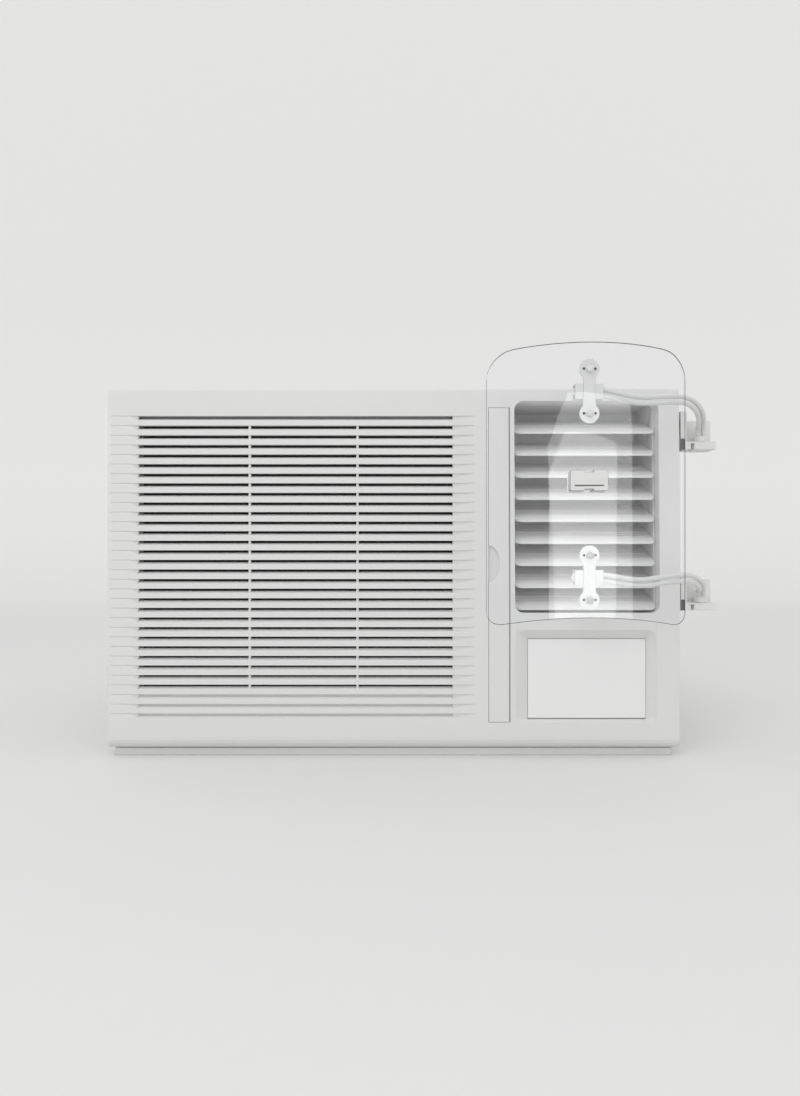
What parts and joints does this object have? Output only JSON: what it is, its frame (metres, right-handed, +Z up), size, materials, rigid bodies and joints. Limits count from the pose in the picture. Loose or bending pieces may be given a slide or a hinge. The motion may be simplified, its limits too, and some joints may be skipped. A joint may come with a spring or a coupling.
{
  "type": "window air conditioner",
  "caption": "Room air conditioner with slotted intake grille, tilting louvers, recessed control door and a clear swing-out air deflector.",
  "frame": {"origin": "middle of the base pan's underside", "axes": "+X to the right seen from the room, +Y to the rear, +Z up; the front panel faces -Y"},
  "size_m": [0.702, 0.7058, 0.4555],
  "materials": {
    "white_plastic": "satin moulded",
    "accessory_white": "satin",
    "clear_acrylic": "clear polished acrylic sheet",
    "black_mesh": "woven net",
    "enamelled_steel": "semi-gloss enamel",
    "zinc_steel": "zinc plated",
    "aluminium_fin": "fin stock",
    "copper_tube": "drawn copper",
    "black_enamel": "black enamel",
    "foam": "moulded foam",
    "rubber": "matt",
    "grey_plastic": "matt moulded"
  },
  "bodies": {
    "chassis": {"base_pan": "enamelled_steel", "blower_orifice": "grey_plastic", "blower_scroll": "grey_plastic", "bracket_lower": "accessory_white", "bracket_pad_lower": "rubber", "bracket_pad_upper": "rubber", "bracket_upper": "accessory_white", "bulkhead": "enamelled_steel", "cabinet": "enamelled_steel", "capillary_tube": "copper_tube", "compressor": "black_enamel", "compressor_foot_1": "rubber", "compressor_foot_2": "rubber", "compressor_foot_3": "rubber", "condenser_fins": "aluminium_fin", "condenser_tubes": "copper_tube", "control_box": "grey_plastic", "cord_gland": "rubber", "discharge_duct": "white_plastic", "discharge_line": "copper_tube", "drain_tray": "foam", "evaporator_fins": "aluminium_fin", "evaporator_tubes": "copper_tube", "fan_motor": "black_enamel", "fan_shroud": "grey_plastic", "filter_frame": "grey_plastic", "filter_mesh": "black_mesh", "front_panel": "white_plastic", "motor_bracket": "zinc_steel", "outlet_frame": "white_plastic", "rear_guard": "enamelled_steel", "run_capacitor": "zinc_steel", "suction_line": "copper_tube"},
    "louver_1": {"louver_1": "white_plastic"},
    "louver_2": {"louver_2": "white_plastic"},
    "louver_3": {"louver_3": "white_plastic"},
    "louver_4": {"louver_4": "white_plastic"},
    "louver_5": {"louver_5": "white_plastic"},
    "louver_6": {"louver_6": "white_plastic"},
    "louver_7": {"louver_7": "white_plastic"},
    "louver_8": {"louver_8": "white_plastic"},
    "louver_9": {"louver_9": "white_plastic"},
    "louver_link": {"louver_link": "white_plastic"},
    "filter_door": {"filter_door": "white_plastic"},
    "control_door": {"control_door": "white_plastic"},
    "mode_knob": {"mode_knob": "white_plastic"},
    "thermostat_knob": {"thermostat_knob": "white_plastic"},
    "rotor": {"fan_shaft": "zinc_steel", "blower_wheel": "black_enamel", "condenser_fan": "grey_plastic"},
    "deflector": {"deflector_sheet": "clear_acrylic", "clip_upper": "accessory_white", "clip_lower": "accessory_white", "arm_upper": "accessory_white", "arm_lower": "accessory_white", "swivel_upper": "accessory_white", "swivel_lower": "accessory_white", "scent_box": "accessory_white", "scent_back": "accessory_white"}
  },
  "joints": [
    {"name": "louver_1_tilt", "type": "hinge", "parent": "chassis", "child": "louver_1", "pos_m": [0.2228, -0.281, 0.3882], "axis": [1, 0, 0], "range_deg": [-38, 2]},
    {"name": "louver_2_tilt", "type": "hinge", "parent": "chassis", "child": "louver_2", "pos_m": [0.2228, -0.281, 0.3626], "axis": [1, 0, 0], "range_deg": [-38, 2]},
    {"name": "louver_3_tilt", "type": "hinge", "parent": "chassis", "child": "louver_3", "pos_m": [0.2228, -0.281, 0.337], "axis": [1, 0, 0], "range_deg": [-38, 2]},
    {"name": "louver_4_tilt", "type": "hinge", "parent": "chassis", "child": "louver_4", "pos_m": [0.2228, -0.281, 0.3114], "axis": [1, 0, 0], "range_deg": [-38, 2]},
    {"name": "louver_5_tilt", "type": "hinge", "parent": "chassis", "child": "louver_5", "pos_m": [0.2228, -0.281, 0.2858], "axis": [1, 0, 0], "range_deg": [-38, 2]},
    {"name": "louver_6_tilt", "type": "hinge", "parent": "chassis", "child": "louver_6", "pos_m": [0.2228, -0.281, 0.2602], "axis": [1, 0, 0], "range_deg": [-38, 2]},
    {"name": "louver_7_tilt", "type": "hinge", "parent": "chassis", "child": "louver_7", "pos_m": [0.2228, -0.281, 0.2346], "axis": [1, 0, 0], "range_deg": [-38, 2]},
    {"name": "louver_8_tilt", "type": "hinge", "parent": "chassis", "child": "louver_8", "pos_m": [0.2228, -0.281, 0.209], "axis": [1, 0, 0], "range_deg": [-38, 2]},
    {"name": "louver_9_tilt", "type": "hinge", "parent": "chassis", "child": "louver_9", "pos_m": [0.2228, -0.281, 0.1834], "axis": [1, 0, 0], "range_deg": [-38, 2]},
    {"name": "link_swing", "type": "hinge", "parent": "louver_1", "child": "louver_link", "pos_m": [0.1531, -0.2465, 0.3982], "axis": [1, 0, 0], "range_deg": [-2, 38]},
    {"name": "filter_door_hinge", "type": "hinge", "parent": "chassis", "child": "filter_door", "pos_m": [0.1317, -0.3155, 0.2214], "axis": [0, 0, 1], "range_deg": [0, 90]},
    {"name": "control_door_hinge", "type": "hinge", "parent": "chassis", "child": "control_door", "pos_m": [0.225, -0.3055, 0.0449], "axis": [1, 0, 0], "range_deg": [0, 90]},
    {"name": "mode_turn", "type": "hinge", "parent": "chassis", "child": "mode_knob", "pos_m": [0.19, -0.29, 0.088], "axis": [0, -1, 0], "range_deg": [0, 240]},
    {"name": "thermostat_turn", "type": "hinge", "parent": "chassis", "child": "thermostat_knob", "pos_m": [0.258, -0.29, 0.088], "axis": [0, -1, 0], "range_deg": [-135, 135]},
    {"name": "fan_spin", "type": "hinge", "parent": "chassis", "child": "rotor", "pos_m": [-0.06, 0, 0.21275], "axis": [0, 1, 0], "continuous": true},
    {"name": "deflector_swing", "type": "hinge", "parent": "chassis", "child": "deflector", "pos_m": [0.357, -0.309, 0.3], "axis": [0, 0, 1], "range_deg": [-6, 100]}
  ],
  "couplings": [
    {"joint": "louver_2_tilt", "follows": "louver_1_tilt", "ratio": 1},
    {"joint": "louver_3_tilt", "follows": "louver_1_tilt", "ratio": 1},
    {"joint": "louver_4_tilt", "follows": "louver_1_tilt", "ratio": 1},
    {"joint": "louver_5_tilt", "follows": "louver_1_tilt", "ratio": 1},
    {"joint": "louver_6_tilt", "follows": "louver_1_tilt", "ratio": 1},
    {"joint": "louver_7_tilt", "follows": "louver_1_tilt", "ratio": 1},
    {"joint": "louver_8_tilt", "follows": "louver_1_tilt", "ratio": 1},
    {"joint": "louver_9_tilt", "follows": "louver_1_tilt", "ratio": 1},
    {"joint": "link_swing", "follows": "louver_1_tilt", "ratio": -1}
  ]
}
